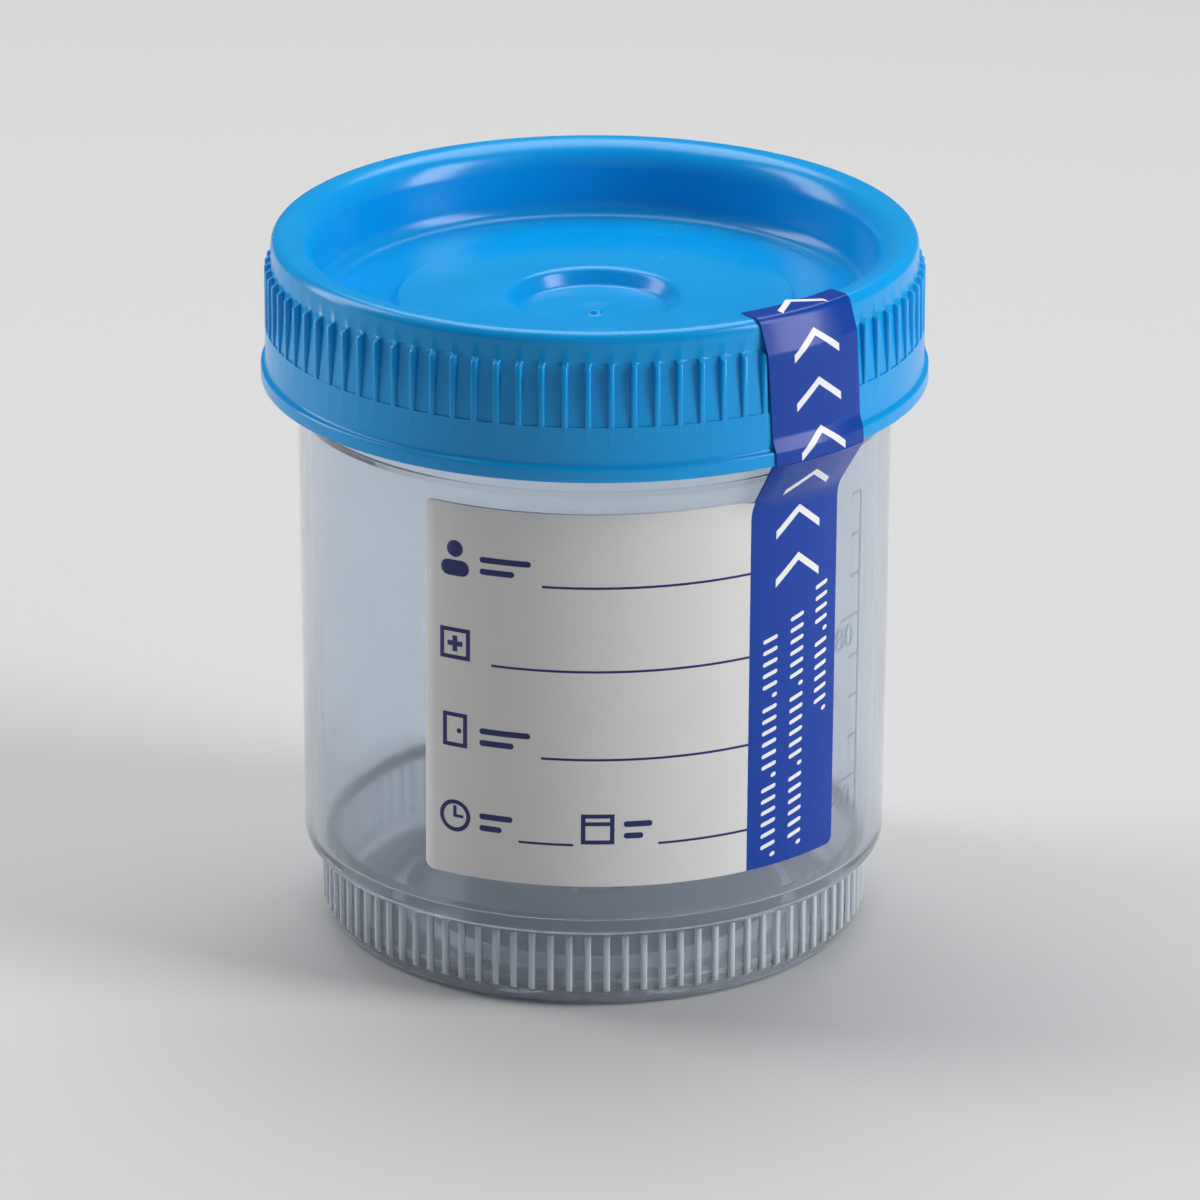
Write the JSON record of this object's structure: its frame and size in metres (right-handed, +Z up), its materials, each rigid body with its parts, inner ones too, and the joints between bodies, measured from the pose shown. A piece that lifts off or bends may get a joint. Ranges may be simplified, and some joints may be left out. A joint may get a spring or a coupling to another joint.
{
  "type": "specimen container",
  "caption": "Round screw-cap specimen cup of translucent plastic with a ribbed foot, a recessed ribbed cap, a wrapped paper label and a seal strip over the cap.",
  "frame": {"origin": "centre of the standing face at the bottom of the foot", "axes": "+Z up the container's axis towards the cap, -Y at the front of the label, +X to the right"},
  "size_m": [0.065, 0.065, 0.0705],
  "materials": {
    "cup_plastic": "translucent natural polypropylene, softly glossy",
    "cap_plastic": "blue polyethylene, satin with soft highlights",
    "label_paper": "coated white paper with dark printed marks",
    "seal_paper": "coated paper printed deep blue with white marks"
  },
  "bodies": {
    "container": {"cup": "cup_plastic", "label": "label_paper"},
    "lid": {"screw_cap": "cap_plastic", "seal_tail": "seal_paper"}
  },
  "joints": [
    {"name": "lid_lift", "type": "slide", "parent": "container", "child": "lid", "axis": [0, 0, 1], "range_m": [0, 0.03]}
  ]
}
